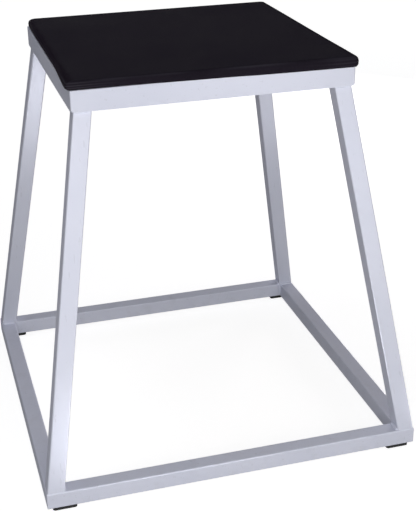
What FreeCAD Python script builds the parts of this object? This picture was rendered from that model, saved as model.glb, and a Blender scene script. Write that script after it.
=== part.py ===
import FreeCAD, Part
import math
import os

import Sketcher

# A steel plyo box. A welded frame of square tube stands on rubber feet: a mitred ring at the floor, four
# legs that lean inward both ways, and a mitred ring of angle at the top. On it lies a plywood board wrapped
# in a black non-slip cover, screwed down from below.
# Millimetres. X runs along the front to the right, Y to the rear and Z up.
# The origin is on the floor, under the middle of the box.

Vector = FreeCAD.Vector
UP = Vector(0, 0, 1)
QUARTER_TURN = 90
CORNERS = ("front_left", "front_right", "rear_right", "rear_left")
SIDES = ("front", "right", "rear", "left")
FOOTED_SIDES = ("front", "rear")

# Driving sizes
SIZES = (
    ("overall_height", 610.0, "floor to the top of the deck"),
    ("base_width", 578.0, "outer width of the square ring at the floor"),
    ("top_frame_width", 406.0, "outer width of the square frame at the top"),
    ("tube_side", 25.4, "outer side of the square tube"),
    ("tube_wall", 2.0, "wall of the square tube"),
    ("tube_corner", 2.0, "outer corner radius of the square tube"),
    ("bore_corner", 0.6, "inner corner radius of the square tube"),
    ("base_corner", 1.5, "radius on the upright corners of the base ring"),
    ("leg_setback", 1.2, "outer face of the base ring to the outer faces of a leg"),
    ("leg_gap", 0.6, "gap between a leg and the lower edge of the top frame"),
    ("angle_leg", 30.0, "width of each leg of the angle"),
    ("angle_thickness", 3.0, "thickness of the angle"),
    ("angle_root", 3.0, "radius inside the angle"),
    ("angle_heel", 0.8, "radius on the outer edge of the angle"),
    ("angle_corner", 2.0, "radius on the upright corners of the top frame"),
    ("angle_end_round", 6.0, "radius on the lower ends of the angle"),
    ("foot_length", 36.0, "length of a foot along its rail"),
    ("foot_width", 21.0, "width of a foot across its rail"),
    ("foot_height", 6.0, "height of a foot"),
    ("foot_corner", 4.0, "corner radius of a foot seen from below"),
    ("foot_edge", 1.2, "radius on the lower edge of a foot"),
    ("foot_inset", 8.0, "end of the rail to the end of its foot"),
    ("foot_screw_length", 12.0, "foot screw, from under its head to its tip"),
    ("foot_washer_diameter", 11.0, "outer diameter of the washer in a foot"),
    ("foot_recess", 0.4, "depth of the screw head inside the sole of a foot"),
    ("board_thickness", 10.0, "thickness of the deck board"),
    ("board_setback", 4.5, "outer face of the top frame to the edge of the deck board"),
    ("board_corner", 5.0, "corner radius of the deck board"),
    ("cover_thickness", 1.35, "thickness of the deck cover over and under the board"),
    ("cover_side", 5.85, "thickness of the deck cover's round edge, past the board"),
    ("cover_upper_edge", 6.0, "radius on the upper edge of the cover"),
    ("cover_lower_edge", 5.0, "radius on the lower edge of the cover"),
    ("cover_turn_under", 40.0, "width of the cover's turned-under edge"),
    ("deck_screw_length", 12.0, "deck screw, from under its head to its tip"),
    ("deck_screw_spacing", 220.0, "distance between the two deck screws on a side"),
    ("deck_washer_diameter", 12.0, "outer diameter of a deck washer"),
    ("screw_diameter", 4.2, "shank of the screws"),
    ("screw_head_diameter", 8.0, "head of the screws"),
    ("screw_head_height", 2.4, "height of the head of the screws"),
    ("screw_slot_length", 4.6, "length of the cross recess in a head"),
    ("screw_slot_width", 1.1, "width of the cross recess in a head"),
    ("screw_slot_depth", 1.4, "depth of the cross recess in a head"),
    ("washer_thickness", 1.0, "thickness of the washers"),
    ("screw_clearance", 0.3, "radial room around a screw in a plain hole"),
    ("thread_clearance", 0.05, "radial room around a screw or staple that bites"),
    ("staple_crown", 10.0, "width of a staple's crown"),
    ("staple_leg", 7.0, "length of a staple's legs, from under its crown"),
    ("staple_wire_height", 0.7, "thickness of the staple wire"),
    ("staple_wire_width", 1.2, "width of the staple wire"),
    ("staple_pitch", 40.0, "distance between staples along a side"),
    ("weld_size", 3.0, "radius of a weld bead"),
    ("flange_weld_size", 2.0, "radius of the bead under the lower edge of the top frame"),
)
STAPLES_ON_A_SIDE = 8
SCREWS_ON_A_SIDE = 2

# Sizes that follow from the driving ones
HALF_BASE = "(sizes.base_width / 2)"
HALF_TOP = "(sizes.top_frame_width / 2)"
BASE_TOP = "(sizes.foot_height + sizes.tube_side)"
PAD_HEIGHT = "(sizes.board_thickness + 2 * sizes.cover_thickness)"
FRAME_TOP = f"(sizes.overall_height - {PAD_HEIGHT})"
RAIL_BOTTOM = f"({FRAME_TOP} - sizes.angle_leg)"
LEG_TOP = f"({FRAME_TOP} - sizes.angle_thickness)"
LEG_FOOT = f"({HALF_BASE} - sizes.leg_setback)"
LEG_HEAD = f"({HALF_TOP} - sizes.angle_thickness - sizes.leg_gap)"
SPLAY = f"(({LEG_FOOT} - {LEG_HEAD}) / ({RAIL_BOTTOM} - {BASE_TOP}))"
TILT = f"atan(sqrt(2) * {SPLAY})"
LEG_AXIS = f"({LEG_FOOT} - sizes.tube_side / 2 / cos({TILT}))"
BOARD_UNDERSIDE = f"({FRAME_TOP} + sizes.cover_thickness)"
BOARD_WIDTH = "(sizes.top_frame_width - 2 * sizes.board_setback)"
PAD_WIDTH = f"({BOARD_WIDTH} + 2 * sizes.cover_side)"
SCREW_LINE = f"({HALF_TOP} - (sizes.angle_leg + sizes.angle_thickness) / 2)"
STAPLE_LINE = f"(({HALF_TOP} - sizes.angle_leg + {PAD_WIDTH} / 2 - sizes.cover_turn_under) / 2)"
STAPLE_RUN = f"({STAPLES_ON_A_SIDE - 1} * sizes.staple_pitch)"
FOOT_ALONG = f"({HALF_BASE} - sizes.foot_inset - sizes.foot_length / 2)"
FOOT_ACROSS = f"({HALF_BASE} - sizes.tube_side / 2)"
FOOT_WASHER_UNDERSIDE = "(sizes.foot_recess + sizes.screw_head_height)"
DECK_WASHER_UNDERSIDE = f"({LEG_TOP} - sizes.washer_thickness)"
DECK_SCREW_GRIP = "(sizes.washer_thickness + sizes.angle_thickness + sizes.cover_thickness)"
DECK_SCREW_BITE = f"(sizes.deck_screw_length - {DECK_SCREW_GRIP})"
TIGHT_HOLE = "(sizes.screw_diameter / 2 + sizes.thread_clearance)"
PLAIN_HOLE = "(sizes.screw_diameter / 2 + sizes.screw_clearance)"

doc = FreeCAD.newDocument("plyo_box")
sheet = doc.addObject("Spreadsheet::Sheet", "sizes")
for row, (alias, size, meaning) in enumerate(SIZES, start=1):
    sheet.set(f"A{row}", alias)
    sheet.set(f"B{row}", str(size))
    sheet.setAlias(f"B{row}", alias)
    sheet.set(f"C{row}", meaning)
doc.recompute()


def value(expression):
    """The number that an expression on the sheet comes to."""
    result = sheet.evalExpression(expression)
    return float(getattr(result, "Value", result))


# Sketches


def origin_item(body, role):
    return next(item for item in body.Origin.OriginFeatures if item.Role == role)


def new_sketch(body, name, plane, offset=("0", "0", "0")):
    """A sketch on one of the body's own planes, shifted by three expressions in the plane's axes."""
    sketch = body.newObject("Sketcher::SketchObject", name)
    sketch.AttachmentSupport = (origin_item(body, plane), [""])
    sketch.MapMode = "FlatFace"
    for axis, expression in zip("xyz", offset):
        sketch.setExpression(f"AttachmentOffset.Base.{axis}", expression)
    return sketch


def constrain(sketch, *terms, to=None):
    """Add a constraint. With an expression, the constraint is a size that follows it."""
    if to is None:
        sketch.addConstraint(Sketcher.Constraint(*terms))
        return
    index = sketch.addConstraint(Sketcher.Constraint(*terms, value(to)))
    sketch.setExpression(f"Constraints[{index}]", to)


def hold_point(sketch, element, point, across, up):
    """Hold a point of the sketch at a place measured from the sketch's origin."""
    constrain(sketch, "DistanceX", -1, 1, element, point, to=across)
    constrain(sketch, "DistanceY", -1, 1, element, point, to=up)


def add_circle(sketch, across, up, radius):
    centre = Vector(value(across), value(up), 0)
    circle = sketch.addGeometry(Part.Circle(centre, UP, value(radius)), False)
    hold_point(sketch, circle, 3, across, up)
    constrain(sketch, "Radius", circle, to=radius)


def add_polygon(sketch, corners):
    """A closed outline of straight lines through corners given as pairs of expressions."""
    points = [Vector(value(across), value(up), 0) for across, up in corners]
    following = points[1:] + points[:1]
    lines = [sketch.addGeometry(Part.LineSegment(a, b), False) for a, b in zip(points, following)]
    for line, next_line in zip(lines, lines[1:] + lines[:1]):
        constrain(sketch, "Coincident", line, 2, next_line, 1)
    for line, (across, up) in zip(lines, corners):
        hold_point(sketch, line, 1, across, up)


def add_rectangle(sketch, left, right, low, high):
    add_polygon(sketch, ((left, low), (right, low), (right, high), (left, high)))


def add_rounded_rectangle(sketch, width, depth, radius):
    """A rectangle with round corners, centred on the sketch's origin."""
    right = value(width) / 2
    top = value(depth) / 2
    bend = value(radius)
    curves = []
    for turn, (side, level) in enumerate(((1, -1), (1, 1), (-1, 1), (-1, -1))):
        circle = Part.Circle(Vector(side * (right - bend), level * (top - bend), 0), UP, bend)
        curves.append(Part.ArcOfCircle(circle, (turn - 1) * math.pi / 2, turn * math.pi / 2))
    arcs = [sketch.addGeometry(curve, False) for curve in curves]
    lines = []
    for curve, next_curve in zip(curves, curves[1:] + curves[:1]):
        lines.append(sketch.addGeometry(Part.LineSegment(curve.EndPoint, next_curve.StartPoint), False))
    for arc, line, next_arc in zip(arcs, lines, arcs[1:] + arcs[:1]):
        constrain(sketch, "Tangent", arc, 2, line, 1)
        constrain(sketch, "Tangent", line, 2, next_arc, 1)
    right_line, top_line, left_line, bottom_line = lines
    for line in (bottom_line, top_line):
        constrain(sketch, "Horizontal", line)
    for line in (right_line, left_line):
        constrain(sketch, "Vertical", line)
    for arc in arcs[1:]:
        constrain(sketch, "Equal", arcs[0], arc)
    constrain(sketch, "Symmetric", arcs[0], 3, arcs[2], 3, -1, 1)
    constrain(sketch, "DistanceX", left_line, 1, right_line, 1, to=width)
    constrain(sketch, "DistanceY", bottom_line, 1, top_line, 1, to=depth)
    constrain(sketch, "Radius", arcs[0], to=radius)


# Features


def new_body(name, quarter_turns=0):
    """A body in the frame of the box, turned about the upright axis."""
    body = doc.addObject("PartDesign::Body", name)
    body.Label = name
    body.Placement.Rotation = FreeCAD.Rotation(UP, QUARTER_TURN * quarter_turns)
    return body


def pad(body, sketch, length, sides="One side", back=None):
    feature = body.newObject("PartDesign::Pad", "Pad")
    feature.Profile = sketch
    feature.SideType = sides
    feature.setExpression("Length", length)
    if back is not None:
        feature.setExpression("Length2", back)
    doc.recompute()
    return feature


def pocket(body, sketch, depth=None):
    """Cut along the sketch's normal by a depth, or right through both ways."""
    before = body.Shape.Volume
    feature = body.newObject("PartDesign::Pocket", "Pocket")
    feature.Profile = sketch
    if depth is None:
        feature.SideType = "Symmetric"
        feature.Type = "ThroughAll"
    else:
        feature.Reversed = True
        feature.setExpression("Length", depth)
    doc.recompute()
    if not body.Shape.Volume < before:
        raise RuntimeError(f"{body.Label}: {sketch.Label} cut nothing")
    return feature


def fillet(body, radius, test):
    """Round the edges of the body, in its own frame, that pass a test."""
    base = body.Tip
    names = [f"Edge{number}" for number, edge in enumerate(base.Shape.Edges, start=1) if test(edge)]
    feature = body.newObject("PartDesign::Fillet", "Fillet")
    feature.Base = (base, names)
    feature.setExpression("Radius", radius)
    doc.recompute()
    return feature


def repeat(body, features, run=None, count=1, turns=1):
    """Repeat features along X, back from the first, and then in turns about the upright axis."""
    pattern = body.newObject("PartDesign::MultiTransform", "Pattern")
    pattern.Originals = features
    steps = []
    if run is not None:
        line = body.newObject("PartDesign::LinearPattern", "Along")
        line.Direction = (origin_item(body, "X_Axis"), [""])
        line.Reversed = True
        line.Occurrences = count
        line.setExpression("Length", run)
        steps.append(line)
    circle = body.newObject("PartDesign::PolarPattern", "Around")
    circle.Axis = (origin_item(body, "Z_Axis"), [""])
    circle.Occurrences = turns
    steps.append(circle)
    pattern.Transformations = steps
    body.Tip = pattern
    doc.recompute()


def is_level_at(edge, height):
    """Whether an edge lies flat at a height."""
    box = edge.BoundBox
    return max(abs(box.ZMin - height), abs(box.ZMax - height)) < Part.Precision.confusion()


# Frame rails


def mitre(body, half_width, depth):
    """Cut both ends of the front rail of a square ring along the ring's diagonals."""
    sketch = new_sketch(body, "mitre", "XY_Plane")
    front = f"-({half_width} + {depth})"
    back = f"-({half_width} - 2 * {depth})"
    for side in ("", "-"):
        outside = f"{side}({half_width} + {depth})"
        inside = f"{side}({half_width} - 2 * {depth})"
        add_polygon(sketch, ((outside, front), (outside, back), (inside, back)))
    pocket(body, sketch)


def round_corners(body, plane, half_width, low, radius):
    """Round the two lower corners of the front rail of a square ring, as seen in a plane."""
    sketch = new_sketch(body, "corners", plane)
    reach = value(half_width)
    bottom = value(low)
    bend = value(radius)
    for side in (1, -1):
        tip = Vector(side * reach, bottom, 0)
        on_end = tip + Vector(0, bend, 0)
        on_bottom = tip - Vector(side * bend, 0, 0)
        circle = Part.Circle(on_bottom + Vector(0, bend, 0), UP, bend)
        first, last = (on_bottom, on_end) if side > 0 else (on_end, on_bottom)
        arc_curve = Part.ArcOfCircle(circle, circle.parameter(first), circle.parameter(last))
        end_line = sketch.addGeometry(Part.LineSegment(on_end, tip), False)
        bottom_line = sketch.addGeometry(Part.LineSegment(tip, on_bottom), False)
        arc = sketch.addGeometry(arc_curve, False)
        arc_at_bottom, arc_at_end = (1, 2) if side > 0 else (2, 1)
        constrain(sketch, "Coincident", end_line, 2, bottom_line, 1)
        constrain(sketch, "Vertical", end_line)
        constrain(sketch, "Horizontal", bottom_line)
        constrain(sketch, "Tangent", bottom_line, 2, arc, arc_at_bottom)
        constrain(sketch, "Tangent", end_line, 1, arc, arc_at_end)
        hold_point(sketch, end_line, 2, half_width if side > 0 else f"-{half_width}", low)
        constrain(sketch, "Radius", arc, to=radius)
    pocket(body, sketch)


def tube_section(sketch):
    bore = "(sizes.tube_side - 2 * sizes.tube_wall)"
    add_rounded_rectangle(sketch, "sizes.tube_side", "sizes.tube_side", "sizes.tube_corner")
    add_rounded_rectangle(sketch, bore, bore, "sizes.bore_corner")


def base_rail(side, quarter_turns, has_feet):
    """One mitred tube of the ring at the floor, drilled below where it carries feet."""
    body = new_body(f"base_{side}_rail", quarter_turns)
    middle = "(sizes.foot_height + sizes.tube_side / 2)"
    section = new_sketch(body, "section", "YZ_Plane", (f"-{FOOT_ACROSS}", middle, "0"))
    tube_section(section)
    pad(body, section, "sizes.base_width", "Symmetric")
    mitre(body, HALF_BASE, "sizes.tube_side")
    round_corners(body, "XY_Plane", HALF_BASE, f"-{HALF_BASE}", "sizes.base_corner")
    if has_feet:
        holes = new_sketch(body, "holes", "XY_Plane", ("0", "0", "sizes.foot_height"))
        for along in (FOOT_ALONG, f"-{FOOT_ALONG}"):
            add_circle(holes, along, f"-{FOOT_ACROSS}", TIGHT_HOLE)
        pocket(body, holes, "2 * sizes.tube_wall")
    return body


def leg(corner, quarter_turns):
    """One tube that leans inward both ways, cut level on the base ring and under the top frame."""
    body = new_body(f"leg_{corner}", quarter_turns)
    section = new_sketch(body, "section", "XY_Plane", (f"-{LEG_AXIS}", f"-{LEG_AXIS}", BASE_TOP))
    section.AttachmentOffset.Rotation = FreeCAD.Rotation(Vector(-1, 1, 0), value(TILT))
    section.setExpression("AttachmentOffset.Rotation.Angle", TILT)
    tube_section(section)
    rise = f"(({LEG_TOP} - {BASE_TOP}) / cos({TILT}) + sizes.tube_side)"
    pad(body, section, rise, "Two sides", "sizes.tube_side")
    ends = new_sketch(body, "ends", "XZ_Plane")
    spare = "2 * sizes.tube_side"
    add_rectangle(ends, "-sizes.base_width", "sizes.base_width", f"{BASE_TOP} - {spare}", BASE_TOP)
    add_rectangle(ends, "-sizes.base_width", "sizes.base_width", LEG_TOP, f"{LEG_TOP} + {spare}")
    pocket(body, ends)
    return body


def top_rail(side, quarter_turns):
    """One mitred angle of the top frame, drilled for the deck screws."""
    body = new_body(f"top_{side}_rail", quarter_turns)
    outer = f"-{HALF_TOP}"
    inner = f"(sizes.angle_leg - {HALF_TOP})"
    back = f"(sizes.angle_thickness - {HALF_TOP})"
    section = new_sketch(body, "section", "YZ_Plane")
    add_polygon(section, ((outer, RAIL_BOTTOM), (back, RAIL_BOTTOM), (back, LEG_TOP), (inner, LEG_TOP),
                          (inner, FRAME_TOP), (outer, FRAME_TOP)))
    pad(body, section, "sizes.top_frame_width", "Symmetric")
    root = Vector(0, value(back), value(LEG_TOP))
    heel = Vector(0, value(outer), value(FRAME_TOP))
    for radius, place in (("sizes.angle_root", root), ("sizes.angle_heel", heel)):
        spot = Part.Vertex(place)
        fillet(body, radius, lambda edge: edge.distToShape(spot)[0] < Part.Precision.confusion())
    mitre(body, HALF_TOP, "sizes.angle_leg")
    round_corners(body, "XY_Plane", HALF_TOP, f"-{HALF_TOP}", "sizes.angle_corner")
    round_corners(body, "XZ_Plane", HALF_TOP, RAIL_BOTTOM, "sizes.angle_end_round")
    holes = new_sketch(body, "holes", "XY_Plane", ("0", "0", LEG_TOP))
    for along in ("sizes.deck_screw_spacing / 2", "-sizes.deck_screw_spacing / 2"):
        add_circle(holes, along, f"-{SCREW_LINE}", PLAIN_HOLE)
    pocket(body, holes, "2 * sizes.angle_thickness")
    return body


# Fasteners


def screw(name, along, across, washer_underside, length, count_of_turns):
    """Pan-head screws that point up, in pairs along X, repeated about the upright axis."""
    body = new_body(name)
    head_underside = f"({washer_underside} - sizes.screw_head_height)"
    profile = new_sketch(body, "profile", "XZ_Plane", (along, head_underside, across))
    head = "(sizes.screw_head_diameter / 2)"
    shank = "(sizes.screw_diameter / 2)"
    bevel = "(sizes.screw_head_height / 2)"
    tip = f"(sizes.screw_head_height + {length})"
    point_start = f"({tip} - sizes.screw_diameter)"
    top = "sizes.screw_head_height"
    add_polygon(profile, (("0", "0"), (f"{head} - {bevel}", "0"), (head, bevel), (head, top), (shank, top),
                          (shank, point_start), ("0", tip)))
    turned = body.newObject("PartDesign::Revolution", "Revolution")
    turned.Profile = profile
    turned.ReferenceAxis = (profile, ["V_Axis"])
    doc.recompute()
    cross = new_sketch(body, "cross", "XY_Plane", (along, f"-{across}", head_underside))
    far = "(sizes.screw_slot_length / 2)"
    near = "(sizes.screw_slot_width / 2)"
    right_arm = ((near, f"-{near}"), (far, f"-{near}"), (far, near))
    upper_arm = ((near, near), (near, far), (f"-{near}", far))
    left_arm = ((f"-{near}", near), (f"-{far}", near), (f"-{far}", f"-{near}"))
    lower_arm = ((f"-{near}", f"-{near}"), (f"-{near}", f"-{far}"), (near, f"-{far}"))
    add_polygon(cross, right_arm + upper_arm + left_arm + lower_arm)
    recess = pocket(body, cross, "sizes.screw_slot_depth")
    repeat(body, [turned, recess], f"2 * {along}", SCREWS_ON_A_SIDE, count_of_turns)
    return body


def washer(name, along, across, underside, diameter, count_of_turns):
    """Plain washers, in pairs along X, repeated about the upright axis."""
    body = new_body(name)
    rings = new_sketch(body, "rings", "XY_Plane", ("0", "0", underside))
    add_circle(rings, along, f"-{across}", f"{diameter} / 2")
    add_circle(rings, along, f"-{across}", PLAIN_HOLE)
    ring = pad(body, rings, "sizes.washer_thickness")
    repeat(body, [ring], f"2 * {along}", SCREWS_ON_A_SIDE, count_of_turns)
    return body


def cover_staples():
    """Staples along the turned-under edge of the cover, on all four sides."""
    body = new_body("cover_staples")
    outline = new_sketch(body, "outline", "XZ_Plane", (f"{STAPLE_RUN} / 2", FRAME_TOP, STAPLE_LINE))
    outer = "(sizes.staple_crown / 2)"
    inner = f"({outer} - sizes.staple_wire_height)"
    crown = "-sizes.staple_wire_height"
    tip = "sizes.staple_leg"
    add_polygon(outline, ((f"-{outer}", crown), (outer, crown), (outer, tip), (inner, tip), (inner, "0"),
                          (f"-{inner}", "0"), (f"-{inner}", tip), (f"-{outer}", tip)))
    staple = pad(body, outline, "sizes.staple_wire_width", "Symmetric")
    repeat(body, [staple], STAPLE_RUN, STAPLES_ON_A_SIDE, len(SIDES))
    return body


# Deck


def staple_slots(body, height, depth):
    """Slots for the staples' legs, up from a height."""
    slots = new_sketch(body, "slots", "XY_Plane", (f"{STAPLE_RUN} / 2", f"-{STAPLE_LINE}", height))
    outer = "(sizes.staple_crown / 2 + sizes.thread_clearance)"
    inner = "(sizes.staple_crown / 2 - sizes.staple_wire_height - sizes.thread_clearance)"
    reach = "(sizes.staple_wire_width / 2 + sizes.thread_clearance)"
    add_rectangle(slots, inner, outer, f"-{reach}", reach)
    add_rectangle(slots, f"-{outer}", f"-{inner}", f"-{reach}", reach)
    cut = pocket(body, slots, depth)
    repeat(body, [cut], STAPLE_RUN, STAPLES_ON_A_SIDE, len(SIDES))


def deck_screw_holes(body, height, depth):
    """Tight holes for the deck screws, up from a height."""
    holes = new_sketch(body, "holes", "XY_Plane", ("0", "0", height))
    add_circle(holes, "sizes.deck_screw_spacing / 2", f"-{SCREW_LINE}", TIGHT_HOLE)
    cut = pocket(body, holes, depth)
    repeat(body, [cut], "sizes.deck_screw_spacing", SCREWS_ON_A_SIDE, len(SIDES))


def deck_board():
    """The plywood board inside the cover."""
    body = new_body("deck_board")
    outline = new_sketch(body, "outline", "XY_Plane", ("0", "0", BOARD_UNDERSIDE))
    add_rounded_rectangle(outline, BOARD_WIDTH, BOARD_WIDTH, "sizes.board_corner")
    pad(body, outline, "sizes.board_thickness")
    deck_screw_holes(body, BOARD_UNDERSIDE, f"({DECK_SCREW_BITE} + sizes.screw_clearance)")
    staple_slots(body, BOARD_UNDERSIDE, "(sizes.staple_leg - sizes.cover_thickness + sizes.screw_clearance)")
    return body


def deck_cover():
    """The sheet over the board: round edges past the frame and a margin turned under the board."""
    body = new_body("deck_cover")
    outline = new_sketch(body, "outline", "XY_Plane", ("0", "0", FRAME_TOP))
    add_rounded_rectangle(outline, PAD_WIDTH, PAD_WIDTH, "(sizes.board_corner + sizes.cover_side)")
    pad(body, outline, PAD_HEIGHT)
    top = value("sizes.overall_height")
    fillet(body, "sizes.cover_upper_edge", lambda edge: is_level_at(edge, top))
    bottom = value(FRAME_TOP)
    fillet(body, "sizes.cover_lower_edge", lambda edge: is_level_at(edge, bottom))
    inside = new_sketch(body, "inside", "XY_Plane", ("0", "0", BOARD_UNDERSIDE))
    add_rounded_rectangle(inside, BOARD_WIDTH, BOARD_WIDTH, "sizes.board_corner")
    pocket(body, inside, "sizes.board_thickness")
    opening = new_sketch(body, "opening", "XY_Plane", ("0", "0", FRAME_TOP))
    reach = f"({PAD_WIDTH} / 2 - sizes.cover_turn_under)"
    add_rectangle(opening, f"-{reach}", reach, f"-{reach}", reach)
    pocket(body, opening, "sizes.cover_thickness")
    deck_screw_holes(body, FRAME_TOP, "sizes.cover_thickness")
    staple_slots(body, FRAME_TOP, "sizes.cover_thickness")
    return body


# Feet


def foot(corner, side_along, side_across):
    """One rubber pad under a rail, with a stepped hole for its screw and washer."""
    body = new_body(f"foot_{corner}")
    outline = new_sketch(body, "outline", "XY_Plane")
    add_rounded_rectangle(outline, "sizes.foot_length", "sizes.foot_width", "sizes.foot_corner")
    pad(body, outline, "sizes.foot_height")
    fillet(body, "sizes.foot_edge", lambda edge: is_level_at(edge, 0.0))
    step = new_sketch(body, "step", "XY_Plane")
    add_circle(step, "0", "0", "(sizes.foot_washer_diameter / 2 + sizes.screw_clearance)")
    pocket(body, step, f"({FOOT_WASHER_UNDERSIDE} + sizes.washer_thickness)")
    hole = new_sketch(body, "hole", "XY_Plane")
    add_circle(hole, "0", "0", PLAIN_HOLE)
    pocket(body, hole)
    body.setExpression("Placement.Base.x", f"{side_along} * {FOOT_ALONG}")
    body.setExpression("Placement.Base.y", f"{side_across} * {FOOT_ACROSS}")
    return body


# Welds, drawn at the front left corner and repeated at the others

half_base = value(HALF_BASE)
half_top = value(HALF_TOP)
base_top = value(BASE_TOP)
rail_bottom = value(RAIL_BOTTOM)
leg_top = value(LEG_TOP)
tube_side = value("sizes.tube_side")
tube_corner = value("sizes.tube_corner")
weld_size = value("sizes.weld_size")
diagonal = Vector(1, -1, 0)
leg_place = FreeCAD.Placement(Vector(-value(LEG_AXIS), -value(LEG_AXIS), base_top),
                              FreeCAD.Rotation(Vector(-1, 1, 0), value(TILT)))
leg_block = Part.makeBox(tube_side, tube_side, 2 * value("sizes.overall_height"),
                         Vector(-tube_side / 2, -tube_side / 2, -tube_side))
leg_block.Placement = leg_place


def leg_edge_point(right, back, height):
    """Where one of the leg's four long edges passes a height. right and back are 1 or -1."""
    start = leg_place.multVec(Vector(right * tube_side / 2, back * tube_side / 2, 0))
    direction = leg_place.Rotation.multVec(UP)
    return start + direction * ((height - start.z) / direction.z)


def bead(start, end, radius):
    """A round-ended rod between two points."""
    rod = Part.makeCylinder(radius, (end - start).Length, start, end - start)
    return rod.fuse([Part.makeSphere(radius, point) for point in (start, end)])


def on_both_faces(shape):
    """A weld on one face of the leg and its mirror image on the face across the diagonal."""
    return [shape, shape.mirror(Vector(), diagonal)]


def at_all_corners(name, shapes):
    """A group of separate solids: the shapes drawn at one corner, and again at the other three."""
    solids = []
    for quarter_turns in range(len(CORNERS)):
        for shape in shapes:
            copy = shape.copy()
            copy.rotate(Vector(), UP, QUARTER_TURN * quarter_turns)
            solids.extend(copy.Solids)
    group = doc.addObject("Part::Feature", name)
    group.Label = name
    group.Shape = Part.makeCompound(solids)
    group.Placement = FreeCAD.Placement()
    return group


def outer_foot_weld():
    """Fills the groove between the front rail's round upper edge and the leg's front face."""
    front = Vector(-half_base, -half_base, base_top - tube_corner)
    centre = front + Vector(0, tube_corner, 0)
    leg_front = Vector(-half_base, -value(LEG_FOOT), base_top)
    leg_inside = Vector(-half_base, centre.y, base_top)
    length = leg_edge_point(1, -1, base_top).x + half_base
    outline = Part.makePolygon([front, leg_front, leg_inside, centre, front])
    strip = Part.Face(outline).extrude(Vector(length, 0, 0))
    rail_edge = Part.makeCylinder(tube_corner, length, centre, Vector(1, 0, 0))
    corner = Vector(-half_base, -half_base, base_top - tube_side)
    past_mitre = Part.Face(Part.makePolygon([corner, corner + Vector(tube_side, tube_side, 0),
                                             corner + Vector(0, tube_side, 0), corner]))
    return strip.cut(rail_edge).cut(past_mitre.extrude(Vector(0, 0, 2 * tube_side)))


def leg_base_welds():
    """Beads inside each leg's foot, and the filled grooves outside it."""
    start = leg_edge_point(1, -1, base_top)
    end = leg_edge_point(1, 1, base_top)
    along = (end - start).normalize() * (tube_corner + weld_size)
    ring = Part.makeBox(2 * half_base, 2 * half_base, tube_side,
                        Vector(-half_base, -half_base, base_top - tube_side))
    inside = bead(start + along, end - along, weld_size).cut(leg_block).cut(ring)
    return at_all_corners("leg_base_welds", on_both_faces(inside) + on_both_faces(outer_foot_weld()))


def leg_top_welds():
    """Beads between each leg's inner faces and the underside of the top frame."""
    start = leg_edge_point(1, -1, leg_top)
    along = (leg_edge_point(1, 1, leg_top) - start).normalize()
    inner_edge = value("sizes.angle_leg") - half_top
    reach = inner_edge - start.y - weld_size
    flange = Part.makeBox(2 * half_top, 2 * half_top, tube_side, Vector(-half_top, -half_top, leg_top))
    rod = bead(start + along * (tube_corner + weld_size), start + along * reach, weld_size)
    return at_all_corners("leg_top_welds", on_both_faces(rod.cut(leg_block).cut(flange)))


def leg_flange_welds():
    """Beads between each leg's outer faces and the lower edge of the top frame."""
    size = value("sizes.flange_weld_size")
    start = leg_edge_point(-1, -1, rail_bottom)
    end = leg_edge_point(1, -1, rail_bottom)
    along = (end - start).normalize() * (tube_corner + size)
    flange = Part.makeBox(2 * half_top, 2 * half_top, tube_side, Vector(-half_top, -half_top, rail_bottom))
    rod = bead(start + along, end - along, size)
    return at_all_corners("leg_flange_welds", on_both_faces(rod.cut(leg_block).cut(flange)))


def base_corner_welds():
    """Upright beads in the inner corners of the base ring."""
    inner = tube_side - half_base
    rod = bead(Vector(inner, inner, base_top - tube_side + tube_corner + weld_size),
               Vector(inner, inner, base_top - tube_corner - weld_size), weld_size)
    front = Part.makeBox(2 * half_base, tube_side, base_top, Vector(-half_base, -half_base, 0))
    left = Part.makeBox(tube_side, 2 * half_base, base_top, Vector(-half_base, -half_base, 0))
    return at_all_corners("base_corner_welds", [rod.cut(front).cut(left)])


# The whole box

nodes = []
for turn, side in enumerate(SIDES):
    nodes.append(base_rail(side, turn, side in FOOTED_SIDES))
    nodes.append(top_rail(side, turn))
for turn, corner in enumerate(CORNERS):
    nodes.append(leg(corner, turn))
for corner in CORNERS:
    nodes.append(foot(corner, 1 if "right" in corner else -1, 1 if "rear" in corner else -1))
nodes.append(deck_board())
nodes.append(deck_cover())
nodes.append(cover_staples())
half_spacing = "(sizes.deck_screw_spacing / 2)"
deck_place = (half_spacing, SCREW_LINE, DECK_WASHER_UNDERSIDE)
foot_place = (FOOT_ALONG, FOOT_ACROSS, FOOT_WASHER_UNDERSIDE)
nodes.append(screw("deck_screws", *deck_place, "sizes.deck_screw_length", len(SIDES)))
nodes.append(washer("deck_washers", *deck_place, "sizes.deck_washer_diameter", len(SIDES)))
nodes.append(screw("foot_screws", *foot_place, "sizes.foot_screw_length", len(FOOTED_SIDES)))
nodes.append(washer("foot_washers", *foot_place, "sizes.foot_washer_diameter", len(FOOTED_SIDES)))
nodes.append(leg_base_welds())
nodes.append(leg_top_welds())
nodes.append(leg_flange_welds())
nodes.append(base_corner_welds())
doc.recompute()

failed = [item.Label for item in doc.Objects if {"Invalid", "Error"} & set(item.State)]
for node in nodes:
    if node.Shape.isNull() or not node.Shape.isValid() or not node.Shape.Solids:
        failed.append(node.Label)
if failed:
    raise RuntimeError(f"failed objects: {failed}")

os.makedirs("parts", exist_ok=True)
for node in nodes:
    node.Shape.exportStep(f"parts/{node.Label}.step")
    print(node.Label, len(node.Shape.Solids), round(node.Shape.Volume, 1))
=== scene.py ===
import math

import bmesh
import bpy
from mathutils import Matrix, Vector, noise


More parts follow.
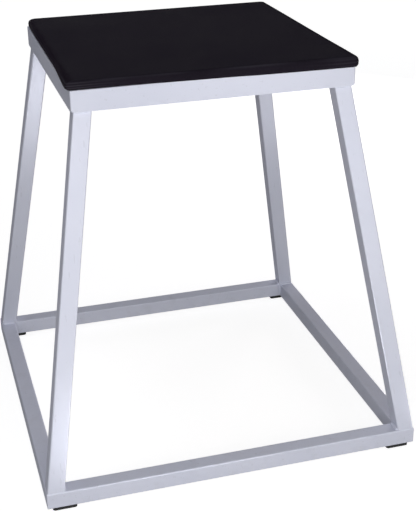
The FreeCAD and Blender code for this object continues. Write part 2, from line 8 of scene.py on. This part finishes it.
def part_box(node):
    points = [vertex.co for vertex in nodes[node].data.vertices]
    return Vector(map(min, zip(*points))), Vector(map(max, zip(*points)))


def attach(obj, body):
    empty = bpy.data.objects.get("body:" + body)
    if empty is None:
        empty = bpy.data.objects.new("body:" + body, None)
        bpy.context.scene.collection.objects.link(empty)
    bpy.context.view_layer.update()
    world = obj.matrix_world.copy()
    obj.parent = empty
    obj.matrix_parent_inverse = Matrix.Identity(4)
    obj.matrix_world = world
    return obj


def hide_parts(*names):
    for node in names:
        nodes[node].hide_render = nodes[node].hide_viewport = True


# The looks of a steel plyo box with a covered deck, in metres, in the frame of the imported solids.

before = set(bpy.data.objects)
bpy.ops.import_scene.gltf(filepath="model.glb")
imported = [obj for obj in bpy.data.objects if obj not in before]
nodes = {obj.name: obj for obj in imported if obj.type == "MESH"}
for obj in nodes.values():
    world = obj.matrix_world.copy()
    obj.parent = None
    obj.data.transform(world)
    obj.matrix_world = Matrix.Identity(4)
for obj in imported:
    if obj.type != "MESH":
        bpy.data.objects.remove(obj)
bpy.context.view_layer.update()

# Camera
CAMERA_PLACE = Vector((-0.4171, -1.6101, 0.9956))
CAMERA_YAW = math.radians(15.853)
CAMERA_PITCH = math.radians(-24.323)
CAMERA_ROLL = math.radians(-0.965)
CAMERA_SENSOR = 36.0
CAMERA_LENS = 77.878

# Lamps: name, place, power in watts, width and colour
WARM_LAMP = (1.0, 0.985, 0.968)
COOL_LAMP = (0.92, 0.945, 1.0)
PINK_LAMP = (1.0, 0.94, 0.95)
WIDE_LAMP = 1.1
SMALL_LAMP = 0.7
LAMPS = (
    ("key", Vector((0.1, -1.6, 0.7)), 5.0, WIDE_LAMP, WARM_LAMP),
    ("low", Vector((0.6, -1.6, 0.4)), 4.0, SMALL_LAMP, WARM_LAMP),
    ("fill", Vector((-0.5, -1.3, 0.6)), 6.1, WIDE_LAMP, WARM_LAMP),
    ("top", Vector((-0.5, 0.0, 2.2)), 5.7, SMALL_LAMP, COOL_LAMP),
    ("rear", Vector((1.45, 1.45, 0.35)), 20.0, SMALL_LAMP, PINK_LAMP),
    ("left", Vector((-1.9, 0.35, 0.4)), 1.4, SMALL_LAMP, PINK_LAMP),
)
LAMP_TARGET = Vector((0.0, 0.0, 0.35))

# Bright cards on the floor: name, middle, size and glow
CARDS = (
    ("left_card", Vector((-0.07, -0.57, 0.003)), Vector((0.30, 0.36)), 12.0),
    ("right_card", Vector((0.48, -0.40, 0.003)), Vector((0.24, 0.16)), 9.0),
)

# Floor and world: the floor glows more with its distance from the middle
WHITE = (1.0, 1.0, 1.0, 1.0)
WORLD_COLOUR = (0.86, 0.89, 1.0, 1.0)
WORLD_STRENGTH = 0.06
FLOOR_SIZE = Vector((12.0, 12.0))
FLOOR_COLOUR = (0.4, 0.4, 0.4, 1.0)
FLOOR_ROUGHNESS = 0.9
FLOOR_DISTANCES = (0.5, 3.0)
FLOOR_GLOWS = (0.86, 1.0)

# Finishes: the range that most of a noise keeps to, then the colours and roughness of each finish
NOISE_SPREAD = (0.3, 0.7)
EVEN = (1.0, 1.0, 1.0)
PAINT_DEEP = (0.685, 0.712, 0.828, 1.0)
PAINT_PALE = (0.725, 0.748, 0.858, 1.0)
PAINT_DUST = (0.42, 0.42, 0.44, 1.0)
PAINT_ROUGHNESS = (0.27, 0.35)
PAINT_FLAKE = 0.08
PAINT_SPECULAR = 0.0
DUST_HEIGHT = 0.09
DUST_MOST = 0.2
LEG_STRETCH = (1.0, 1.0, 0.05)
WELD_LUMPS = 0.35
COVER_DEEP = (0.0033, 0.0008, 0.0048, 1.0)
COVER_PALE = (0.0125, 0.0085, 0.0165, 1.0)
# The paler cover colour: rubbed paleness on the top, plus painted highlights and a front painted lighter
COVER_WORN_OR_LIT = (0.060, 0.057, 0.070, 1.0)
COVER_ROUGHNESS = (0.56, 0.68)
COVER_SPECULAR = 0.003
WOOD_DEEP = (0.52, 0.35, 0.19, 1.0)
WOOD_PALE = (0.70, 0.52, 0.33, 1.0)
WOOD_PORES = (0.30, 0.18, 0.09, 1.0)
WOOD_ROUGHNESS = (0.62, 0.8)
GRAIN_STRETCH = (1.0, 14.0, 14.0)
PORE_STRETCH = (1.0, 40.0, 40.0)
RUBBER_DEEP = (0.008, 0.008, 0.0085, 1.0)
RUBBER_DUSTY = (0.022, 0.021, 0.021, 1.0)
RUBBER_ROUGHNESS = (0.62, 0.82)
RUBBER_SPECULAR = 0.35
ZINC_DEEP = (0.48, 0.49, 0.50, 1.0)
ZINC_PALE = (0.68, 0.69, 0.68, 1.0)
ZINC_ROUGHNESS = (0.28, 0.45)

# Deck cover: the solids that it follows
deck_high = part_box("deck_cover")[1]
board_low, board_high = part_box("deck_board")
rail_low, rail_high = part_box("top_front_rail")
COVER_HALF = deck_high.x
COVER_TOP = deck_high.z
BOARD_HALF = board_high.x
BOARD_TOP = board_high.z
BOARD_UNDERSIDE = board_low.z
FRAME_TOP = rail_high.z
FRAME_HALF = -rail_low.y

# Deck cover: its neat form
COVER_UPPER_EDGE = 0.0060
COVER_LOWER_EDGE = 0.0050
COVER_TURN_UNDER = 0.040

# Deck cover: its corners, in the order front left, front right, rear right, rear left, and moves along X
CORNERS = 4
CORNER_RADII = (0.005, 0.009, 0.011, 0.014)
CORNER_SHIFTS = (-0.0010, 0.0024, 0.0020, 0.0020)
CORNER_PULLS = (-0.0040, 0.0010, 0.0, 0.0)
PULL_LENGTH = 0.075
GATHER_DEPTHS = (0.0006, 0.00025, 0.0004, 0.0003)
GATHER_LENGTH = 0.045
GATHER_SPACING = 0.0033
GATHER_DRIFT = 0.7
GATHER_DRIFT_SCALE = 28.0
LEAST_CORNER = 0.0004

# Deck cover: its loose front right edge and its ripples
SLUMP_OUT = 0.0022
SLUMP_DOWN = 0.0051
SLUMP_LENGTH = 0.10
SLUMP_START = -0.15
SLUMP_BEND = 0.52
LIP_WIDTH = 0.0012
WALL_RIPPLE = 0.0004
WALL_RIPPLE_SCALE = 13.0
TOP_RIPPLE = 0.0003
TOP_RIPPLE_SCALE = 24.0

# Deck cover: where it is rubbed pale, and its painted highlights and painted shade
WEAR_AND_LIGHT_NAME = "wear_and_light"
# The top is paler from rubbing; the front wall gets the same paleness as painted light
TOP_WEAR_AND_FRONT_LIGHT = 0.2
# A band along the rolled edges, and the sides, are left darker: painted shade
SHADED_EDGE_WIDTH = 0.005
SHADED_EDGE_FADE = 0.006
# Painted highlights on the ridges of the gathers
GATHER_HIGHLIGHT = 0.8
RIDGE_SHARPNESS = 3
# A painted highlight along the upper edge, weaker at the back, in patches
EDGE_HIGHLIGHT = 0.45
EDGE_HIGHLIGHT_HEIGHT = COVER_TOP - 0.0013
EDGE_HIGHLIGHT_WIDTH = 0.0009
BACK_HIGHLIGHT = 0.2
HIGHLIGHT_PATCH_SCALE = 17.0

# Deck cover: how finely its mesh is divided
QUARTER = math.pi / 2
TOP_STEPS = 24
UPPER_STEPS = 12
WALL_STEPS = 10
LOWER_STEPS = 12
SIDE_POINTS = 72
CORNER_POINTS = 12


# Helpers for objects and nodes


def add_object(name, data):
    """A new object in the scene."""
    made = bpy.data.objects.new(name, data)
    bpy.context.scene.collection.objects.link(made)
    return made


def make_material(name):
    """A new material, its node tree and its shader."""
    material = bpy.data.materials.new(name)
    material.use_nodes = True
    tree = material.node_tree
    return material, tree, tree.nodes["Principled BSDF"]


def connect(tree, socket, source):
    """Link a socket to another socket, or set it to a value."""
    if isinstance(source, bpy.types.NodeSocket):
        tree.links.new(source, socket)
    else:
        socket.default_value = source


def set_inputs(tree, node, inputs):
    """Link or set several inputs of a node by name."""
    for name, source in inputs.items():
        connect(tree, node.inputs[name], source)


def add_node(tree, kind, inputs, **settings):
    """A new node with its settings and inputs."""
    made = tree.nodes.new(kind)
    for name, setting in settings.items():
        setattr(made, name, setting)
    set_inputs(tree, made, inputs)
    return made


def object_coordinates(tree, stretch=EVEN):
    """Places in the frame of the solids, stretched along each axis."""
    place = add_node(tree, "ShaderNodeTexCoord", {}).outputs["Object"]
    return add_node(tree, "ShaderNodeMapping", {"Vector": place, "Scale": stretch}).outputs["Vector"]


def noise_factor(tree, place, scale, detail=2.0, roughness=0.5):
    """Soft noise from 0 to 1."""
    inputs = {"Vector": place, "Scale": scale, "Detail": detail, "Roughness": roughness}
    return add_node(tree, "ShaderNodeTexNoise", inputs).outputs[0]


def map_range(tree, factor, taken, given=(0.0, 1.0)):
    """Stretch the range that is taken from a factor over the range that is given."""
    inputs = {
        "Value": factor,
        "From Min": taken[0],
        "From Max": taken[1],
        "To Min": given[0],
        "To Max": given[1],
    }
    return add_node(tree, "ShaderNodeMapRange", inputs).outputs["Result"]


def mix_colours(tree, factor, first, second):
    """The first colour at a factor of 0 and the second at 1, by the numbers of the node's colour sockets."""
    return add_node(tree, "ShaderNodeMix", {0: factor, 6: first, 7: second}, data_type="RGBA").outputs[2]


def math_node(tree, operation, first, second):
    """Two factors put together by one operation."""
    return add_node(tree, "ShaderNodeMath", {0: first, 1: second}, operation=operation).outputs[0]


def add_bump(tree, height, strength, distance, normal=None):
    """A normal with small heights on it, over another normal where one is given."""
    inputs = {"Height": height, "Strength": strength, "Distance": distance}
    if normal is not None:
        inputs["Normal"] = normal
    return add_node(tree, "ShaderNodeBump", inputs).outputs["Normal"]


# Materials


def frame_paint(name, stretch=EVEN, lumpiness=0.0):
    """Cool-white powder coat with a trace of flake, a fine orange peel, streaks and dust low down."""
    material, tree, shader = make_material(name)
    place = object_coordinates(tree)
    patches = noise_factor(tree, place, scale=7.0, detail=3.0)
    colour = mix_colours(tree, map_range(tree, patches, NOISE_SPREAD), PAINT_DEEP, PAINT_PALE)
    height = add_node(tree, "ShaderNodeSeparateXYZ", {"Vector": place}).outputs["Z"]
    low = map_range(tree, height, (0.0, DUST_HEIGHT), (1.0, 0.0))
    scuffs = noise_factor(tree, place, scale=38.0, detail=6.0, roughness=0.65)
    dust = math_node(tree, "MULTIPLY", low, map_range(tree, scuffs, (0.52, 0.75), (0.0, DUST_MOST)))
    streaks = noise_factor(tree, object_coordinates(tree, stretch), scale=240.0, detail=3.0)
    peel = noise_factor(tree, place, scale=620.0)
    normal = add_bump(tree, peel, strength=0.10, distance=0.0004)
    if lumpiness:
        lumps = noise_factor(tree, place, scale=260.0, detail=3.0)
        normal = add_bump(tree, lumps, lumpiness, distance=0.0012, normal=normal)
    set_inputs(tree, shader, {
        "Base Color": mix_colours(tree, dust, colour, PAINT_DUST),
        "Roughness": map_range(tree, streaks, NOISE_SPREAD, PAINT_ROUGHNESS),
        "Metallic": PAINT_FLAKE,
        "Specular IOR Level": PAINT_SPECULAR,
        "Normal": normal,
    })
    return material


def cover_sheet():
    """Black non-slip sheet with a fine pebbled grain, paler where it is rubbed and where highlights and
    light are painted on.
    """
    material, tree, shader = make_material("deck_cover_black")
    place = object_coordinates(tree)
    broad = noise_factor(tree, place, scale=11.0, detail=4.0, roughness=0.6)
    speckle = noise_factor(tree, place, scale=420.0, detail=3.0, roughness=0.6)
    broad_tone = map_range(tree, broad, NOISE_SPREAD, (0.0, 0.55))
    speckle_tone = map_range(tree, speckle, (0.4, 0.7), (0.0, 0.45))
    colour = mix_colours(tree, math_node(tree, "ADD", broad_tone, speckle_tone), COVER_DEEP, COVER_PALE)
    # Paler where rubbed, with painted highlights on the upper edge and gathers and a front painted lighter
    worn_or_lit = add_node(tree, "ShaderNodeAttribute", {}, attribute_name=WEAR_AND_LIGHT_NAME).outputs["Fac"]
    pebbles = add_node(tree, "ShaderNodeTexVoronoi", {"Vector": place, "Scale": 900.0}).outputs["Distance"]
    normal = add_bump(tree, pebbles, strength=0.35, distance=0.0005)
    set_inputs(tree, shader, {
        "Base Color": mix_colours(tree, worn_or_lit, colour, COVER_WORN_OR_LIT),
        "Roughness": map_range(tree, broad, NOISE_SPREAD, COVER_ROUGHNESS),
        "Specular IOR Level": COVER_SPECULAR,
        "Normal": add_bump(tree, speckle, strength=0.18, distance=0.0004, normal=normal),
    })
    return material


def plywood():
    """Raw plywood: long grain and darker pores."""
    material, tree, shader = make_material("deck_plywood")
    grain_place = object_coordinates(tree, GRAIN_STRETCH)
    pore_place = object_coordinates(tree, PORE_STRETCH)
    grain = noise_factor(tree, grain_place, scale=9.0, detail=6.0, roughness=0.62)
    pores = noise_factor(tree, pore_place, scale=42.0, detail=3.0, roughness=0.6)
    colour = mix_colours(tree, map_range(tree, grain, (0.32, 0.68)), WOOD_DEEP, WOOD_PALE)
    darker = map_range(tree, pores, (0.56, 0.72), (0.0, 0.6))
    set_inputs(tree, shader, {
        "Base Color": mix_colours(tree, darker, colour, WOOD_PORES),
        "Roughness": map_range(tree, grain, NOISE_SPREAD, WOOD_ROUGHNESS),
        "Normal": add_bump(tree, pores, strength=0.3, distance=0.0006),
    })
    return material


def foot_rubber():
    """Moulded black rubber with a dull, dusty skin."""
    material, tree, shader = make_material("foot_rubber_black")
    place = object_coordinates(tree)
    dusty = noise_factor(tree, place, scale=90.0, detail=5.0, roughness=0.65)
    grain = noise_factor(tree, place, scale=1400.0)
    set_inputs(tree, shader, {
        "Base Color": mix_colours(tree, map_range(tree, dusty, (0.45, 0.75)), RUBBER_DEEP, RUBBER_DUSTY),
        "Roughness": map_range(tree, dusty, NOISE_SPREAD, RUBBER_ROUGHNESS),
        "Specular IOR Level": RUBBER_SPECULAR,
        "Normal": add_bump(tree, grain, strength=0.25, distance=0.0003),
    })
    return material


def zinc():
    """Zinc-plated steel, slightly mottled."""
    material, tree, shader = make_material("zinc_plate")
    mottle = noise_factor(tree, object_coordinates(tree), scale=320.0, detail=4.0, roughness=0.6)
    set_inputs(tree, shader, {
        "Base Color": mix_colours(tree, map_range(tree, mottle, (0.35, 0.65)), ZINC_DEEP, ZINC_PALE),
        "Roughness": map_range(tree, mottle, NOISE_SPREAD, ZINC_ROUGHNESS),
        "Metallic": 1.0,
        "Normal": add_bump(tree, mottle, strength=0.08, distance=0.0003),
    })
    return material


def finish_of(node):
    """Which finish a node wears."""
    if node.endswith("_welds"):
        return "weld paint"
    if node.endswith(("_screws", "_washers", "_staples")):
        return "zinc"
    if node.startswith(("base_", "top_")):
        return "rail paint"
    if node.startswith("leg_"):
        return "leg paint"
    if node.startswith("foot_"):
        return "rubber"
    if node == "deck_board":
        return "wood"
    return "cover"


# Deck cover mesh


def cover_profile():
    """Section of the neat cover, from the middle of its top, over the edge, under the board and back inside.

    Each entry is reach from the centre, height, and how loose the sheet is there.
    """
    upper_middle = COVER_HALF - COVER_UPPER_EDGE
    lower_middle = COVER_HALF - COVER_LOWER_EDGE
    wall_top = COVER_TOP - COVER_UPPER_EDGE
    wall_bottom = FRAME_TOP + COVER_LOWER_EDGE
    margin_inner = COVER_HALF - COVER_TURN_UNDER
    section = []
    for step in range(1, TOP_STEPS + 1):
        section.append((upper_middle * math.sin(QUARTER * step / TOP_STEPS), COVER_TOP, 0.0))
    for step in range(1, UPPER_STEPS + 1):
        angle = QUARTER * step / UPPER_STEPS
        reach = upper_middle + COVER_UPPER_EDGE * math.sin(angle)
        section.append((reach, wall_top + COVER_UPPER_EDGE * math.cos(angle), math.sin(angle)))
    for step in range(1, WALL_STEPS + 1):
        section.append((COVER_HALF, wall_top + (wall_bottom - wall_top) * step / WALL_STEPS, 1.0))
    for step in range(1, LOWER_STEPS + 1):
        angle = QUARTER * step / LOWER_STEPS
        reach = lower_middle + COVER_LOWER_EDGE * math.cos(angle)
        looseness = math.sqrt(max(0.0, math.cos(angle)))
        section.append((reach, wall_bottom - COVER_LOWER_EDGE * math.sin(angle), looseness))
    section.append((margin_inner, FRAME_TOP, 0.0))
    section.append((margin_inner, BOARD_UNDERSIDE, 0.0))
    section.append((BOARD_HALF, BOARD_UNDERSIDE, 0.0))
    section.append((BOARD_HALF, BOARD_TOP, 0.0))
    return section


def corner_radius(reach, corner):
    """Radius of a corner of the ring that lies at this reach."""
    return max(reach - (COVER_HALF - CORNER_RADII[corner]), LEAST_CORNER)


def cover_ring(reach):
    """Points around a rounded square.

    Each entry is a place, its outward direction, its distance to the nearest corner, and that corner.
    """
    ring = []
    for side in range(CORNERS):
        after = (side + 1) % CORNERS
        turn = Matrix.Rotation(QUARTER * side, 2)
        radius = corner_radius(reach, after)
        start = corner_radius(reach, side) - reach
        end = reach - radius
        for step in range(SIDE_POINTS):
            share = 0.5 + 0.5 * math.sin(QUARTER * (2 * step / SIDE_POINTS - 1))
            along = start + (end - start) * share
            nearest = side if share < 0.5 else after
            place = turn @ Vector((along, -reach))
            ring.append((place, turn @ Vector((0.0, -1.0)), min(along - start, end - along), nearest))
        for step in range(CORNER_POINTS):
            angle = QUARTER * step / CORNER_POINTS
            outward = Vector((math.sin(angle), -math.cos(angle)))
            place = turn @ (Vector((end, -end)) + outward * radius)
            ring.append((place, turn @ outward, 0.0, after))
    return ring


def limit(number):
    """The number, kept between 0 and 1."""
    return min(1.0, max(0.0, number))


def blend(first, second, share):
    """The first number at a share of 0 and the second at 1."""
    return first + (second - first) * share


def corner_share(from_corner, length):
    """1 at a corner, fading to 0 along the sides over about this length."""
    return math.exp(-(from_corner / length) ** 2)


def gather_wave(place, height):
    """From 0 on the ridge of a gather to 1 in its groove."""
    drift = GATHER_DRIFT * noise.noise(Vector((place.x, place.y, 0.0)) * GATHER_DRIFT_SCALE)
    return 0.5 - 0.5 * math.cos(2 * math.pi * (height - FRAME_TOP) / GATHER_SPACING + drift)


def gather_depth(place, height, from_corner, corner):
    """Grooves that run along the wall near a corner and fade away from it."""
    return GATHER_DEPTHS[corner] * corner_share(from_corner, GATHER_LENGTH) * gather_wave(place, height)


def slump(place):
    """From 0 to 1: how far the soft edge bulges and hangs, growing along the front to the right."""
    to_right = limit((place.x - SLUMP_START) / (COVER_HALF - SLUMP_START)) ** SLUMP_BEND
    to_front = limit((SLUMP_LENGTH - COVER_HALF - place.y) / SLUMP_LENGTH)
    return to_right * to_front


def cover_shift(place):
    """How far to the right the cover lies, blended between its four corners."""
    right = limit(0.5 + place.x / COVER_HALF / 2)
    rear = limit(0.5 + place.y / COVER_HALF / 2)
    front_left, front_right, rear_right, rear_left = CORNER_SHIFTS
    return blend(blend(front_left, front_right, right), blend(rear_left, rear_right, right), rear)


def cover_point(section, spot):
    """Where one point of the neat cover comes to lie."""
    reach, height, looseness = section
    place, outward, from_corner, corner = spot
    around = Vector((place.x, place.y, height))
    push = WALL_RIPPLE * noise.noise(around * WALL_RIPPLE_SCALE) + SLUMP_OUT * slump(place)
    push -= gather_depth(place, height, from_corner, corner)
    moved = place + outward * push * looseness
    moved.x += CORNER_PULLS[corner] * corner_share(from_corner, PULL_LENGTH) * looseness
    if height > BOARD_TOP or looseness > 0 or reach > BOARD_HALF:
        moved.x += cover_shift(place)
    past_frame = limit((max(abs(moved.x), abs(moved.y)) - FRAME_HALF) / LIP_WIDTH)
    share_down = limit((COVER_TOP - height) / (COVER_TOP - FRAME_TOP))
    height -= SLUMP_DOWN * slump(place) * past_frame * share_down
    if reach < BOARD_HALF and height > BOARD_TOP:
        height -= TOP_RIPPLE * (0.5 + 0.5 * noise.noise(around * TOP_RIPPLE_SCALE))
    return Vector((moved.x, moved.y, height))


def cover_wear_and_light(section, spot):
    """From 0 to 1: how far the sheet is paler, from rubbing and from painted light.

    The top is a little pale all over from rubbing and the front is painted lighter, with painted highlights
    on the ridges of the gathers and on the upper edge; the rolled sides are left darker as painted shade.
    """
    reach, height, looseness = section
    place, outward, from_corner, corner = spot
    forward = limit(-outward.y)
    # Painted highlights on the ridges of the gathers
    ridge = (1 - gather_wave(place, height)) ** RIDGE_SHARPNESS
    near_corner = corner_share(from_corner, GATHER_LENGTH) * GATHER_DEPTHS[corner] / max(GATHER_DEPTHS)
    gathers = ridge * near_corner * looseness
    # A painted highlight along the upper edge, strongest at the front
    off_edge = (height - EDGE_HIGHLIGHT_HEIGHT) / EDGE_HIGHLIGHT_WIDTH
    patchy = limit(0.5 + noise.noise(Vector((place.x, place.y, height)) * HIGHLIGHT_PATCH_SCALE))
    edge = math.exp(-off_edge ** 2) * patchy * blend(BACK_HIGHLIGHT, 1.0, forward) * min(1.0, 2 * looseness)
    highlights = limit(GATHER_HIGHLIGHT * gathers + EDGE_HIGHLIGHT * edge)
    # The top paler from rubbing, the front painted lighter, the sides and rolled edges left darker as
    # painted shade
    inside = limit((COVER_HALF - SHADED_EDGE_WIDTH - reach) / SHADED_EDGE_FADE)
    wear_and_front_light = TOP_WEAR_AND_FRONT_LIGHT * max(inside, forward)
    return 1 - (1 - wear_and_front_light) * (1 - highlights)


def build_cover():
    """The stretched sheet as one closed mesh, with its rubbed paleness, painted highlights and painted shade
    kept on its points.
    """
    mesh = bmesh.new()
    wear_and_light = mesh.verts.layers.float.new(WEAR_AND_LIGHT_NAME)
    top_middle = mesh.verts.new((0.0, 0.0, COVER_TOP - TOP_RIPPLE / 2))
    top_middle[wear_and_light] = TOP_WEAR_AND_FRONT_LIGHT
    rings = []
    for section in cover_profile():
        ring = []
        for spot in cover_ring(section[0]):
            point = mesh.verts.new(cover_point(section, spot))
            point[wear_and_light] = cover_wear_and_light(section, spot)
            ring.append(point)
        rings.append(ring)
    inner_middle = mesh.verts.new((0.0, 0.0, BOARD_TOP))
    count = len(rings[0])
    for first, second in zip(rings, rings[1:]):
        for step in range(count):
            after = (step + 1) % count
            mesh.faces.new((first[step], second[step], second[after], first[after]))
    for step in range(count):
        after = (step + 1) % count
        mesh.faces.new((top_middle, rings[0][step], rings[0][after]))
        mesh.faces.new((inner_middle, rings[-1][after], rings[-1][step]))
    for face in mesh.faces:
        face.smooth = True
    data = bpy.data.meshes.new("deck_cover_sheet")
    mesh.to_mesh(data)
    mesh.free()
    return add_object("deck_cover_sheet", data)


# Stage, light and camera


def add_area_light(name, place, power, size, colour):
    """A round soft lamp that points at the object."""
    lamp = bpy.data.lights.new(name, "AREA")
    lamp.shape = "DISK"
    lamp.size = size
    lamp.energy = power
    lamp.color = colour
    holder = add_object(name, lamp)
    holder.location = place
    holder.rotation_euler = (LAMP_TARGET - place).to_track_quat("-Z", "Y").to_euler()


def seen_directly(tree):
    """1 for rays from the camera, from gloss and through clear material, else 0."""
    path = add_node(tree, "ShaderNodeLightPath", {}).outputs
    seen = math_node(tree, "MAXIMUM", path["Is Camera Ray"], path["Is Glossy Ray"])
    return math_node(tree, "MAXIMUM", seen, path["Is Transmission Ray"])


def add_stage_sheet(name, middle, size):
    """A flat rectangle that lies level and isn't part of the object."""
    data = bpy.data.meshes.new(name)
    corners = []
    for along, across in ((-0.5, -0.5), (0.5, -0.5), (0.5, 0.5), (-0.5, 0.5)):
        corners.append(middle + Vector((along * size.x, across * size.y, 0.0)))
    data.from_pydata(corners, [], [range(len(corners))])
    sheet = add_object(name, data)
    return sheet


def build_card(name, middle, size, glow):
    """A bright card on the floor in front, which only shows as gloss on the paint."""
    card = add_stage_sheet(name, middle, size)
    material, tree, shader = make_material(name + "_white")
    set_inputs(tree, shader, {"Emission Color": WHITE, "Emission Strength": glow})
    card.data.materials.append(material)
    card.visible_camera = False
    card.visible_diffuse = False
    card.visible_shadow = False


def build_floor():
    """A pale floor that takes the object's shadow and fades to white far away."""
    floor = add_stage_sheet("floor", Vector((0.0, 0.0, 0.0)), FLOOR_SIZE)
    material, tree, shader = make_material("floor_pale")
    distance = add_node(tree, "ShaderNodeVectorMath", {0: object_coordinates(tree)}, operation="LENGTH")
    glow = map_range(tree, distance.outputs["Value"], FLOOR_DISTANCES, FLOOR_GLOWS)
    set_inputs(tree, shader, {
        "Base Color": FLOOR_COLOUR,
        "Roughness": FLOOR_ROUGHNESS,
        "Specular IOR Level": 0.0,
        "Emission Color": WHITE,
        "Emission Strength": math_node(tree, "MULTIPLY", seen_directly(tree), glow),
    })
    floor.data.materials.append(material)


def build_world():
    """A dim, cool light from all around, which is seen as white."""
    world = bpy.data.worlds.new("studio")
    bpy.context.scene.world = world
    world.use_nodes = True
    tree = world.node_tree
    seen = seen_directly(tree)
    set_inputs(tree, tree.nodes["Background"], {
        "Color": mix_colours(tree, seen, WORLD_COLOUR, WHITE),
        "Strength": map_range(tree, seen, (0.0, 1.0), (WORLD_STRENGTH, 1.0)),
    })


def build_camera():
    """The camera that was fitted to the straight edges of the frame."""
    data = bpy.data.cameras.new("camera")
    data.sensor_width = CAMERA_SENSOR
    data.lens = CAMERA_LENS
    camera = add_object("camera", data)
    level = math.cos(CAMERA_PITCH)
    forward = Vector((math.sin(CAMERA_YAW) * level, math.cos(CAMERA_YAW) * level, math.sin(CAMERA_PITCH)))
    right = Vector((math.cos(CAMERA_YAW), -math.sin(CAMERA_YAW), 0.0))
    up = right.cross(forward)
    rolled_right = right * math.cos(CAMERA_ROLL) + up * math.sin(CAMERA_ROLL)
    rolled_up = up * math.cos(CAMERA_ROLL) - right * math.sin(CAMERA_ROLL)
    turn = Matrix((rolled_right, rolled_up, -forward)).transposed()
    camera.matrix_world = Matrix.Translation(CAMERA_PLACE) @ turn.to_4x4()
    bpy.context.scene.camera = camera


# The scene

finishes = {
    "rail paint": frame_paint("rail_paint_white"),
    "leg paint": frame_paint("leg_paint_white", stretch=LEG_STRETCH),
    "weld paint": frame_paint("weld_paint_white", lumpiness=WELD_LUMPS),
    "rubber": foot_rubber(),
    "zinc": zinc(),
    "wood": plywood(),
    "cover": cover_sheet(),
}
for node, solid in nodes.items():
    solid.data.materials.clear()
    solid.data.materials.append(finishes[finish_of(node)])

cover = build_cover()
cover.data.materials.append(finishes["cover"])
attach(cover, "root")
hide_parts("deck_cover")

build_floor()
for card in CARDS:
    build_card(*card)
build_world()
for lamp in LAMPS:
    add_area_light(*lamp)
build_camera()
bpy.context.scene.view_settings.view_transform = "Standard"
